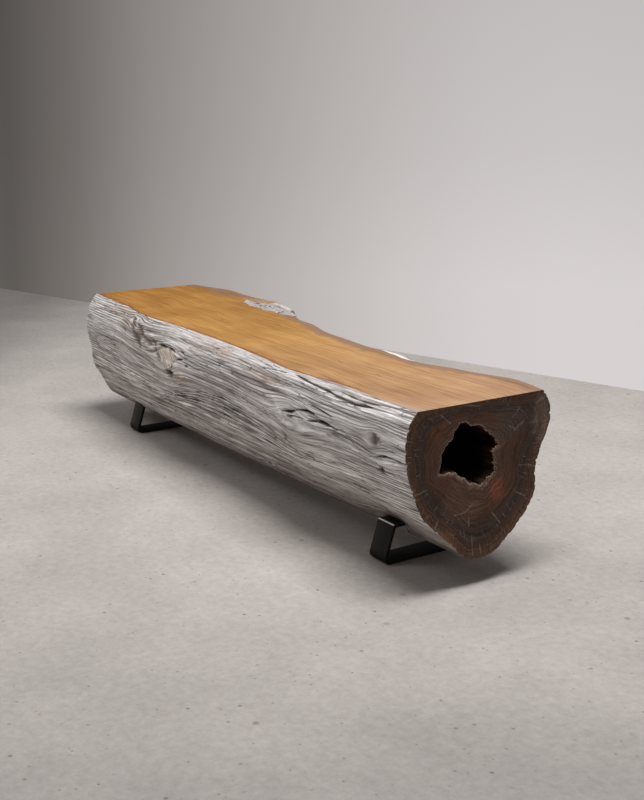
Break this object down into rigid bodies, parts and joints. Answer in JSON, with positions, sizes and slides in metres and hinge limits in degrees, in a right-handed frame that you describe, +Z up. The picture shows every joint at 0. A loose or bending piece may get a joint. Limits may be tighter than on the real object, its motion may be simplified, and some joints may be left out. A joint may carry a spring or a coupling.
{
  "type": "rustic log bench",
  "caption": "Low backless bench: a crooked log with a sawn flat seat, weathered sides and a rotten hollow in one end, on flat-bar steel ring legs.",
  "frame": {"origin": "centre of the footprint, on the floor", "axes": "+X along the log to the end with the hollow, -Y to the front with the dead knot, +Z up"},
  "size_m": [1.9, 0.5452, 0.445],
  "materials": {
    "log_wood": "Sealed satin teak on the sawn seat, silver-grey driftwood on the sides, dark brown end grain",
    "leg_steel": "Satin black powder coat",
    "screw_steel": "Zinc plated"
  },
  "bodies": {
    "root": {"log_body": "log_wood", "near_leg_frame": "leg_steel", "far_leg_frame": "leg_steel", "leg_screws": "screw_steel"}
  },
  "joints": []
}
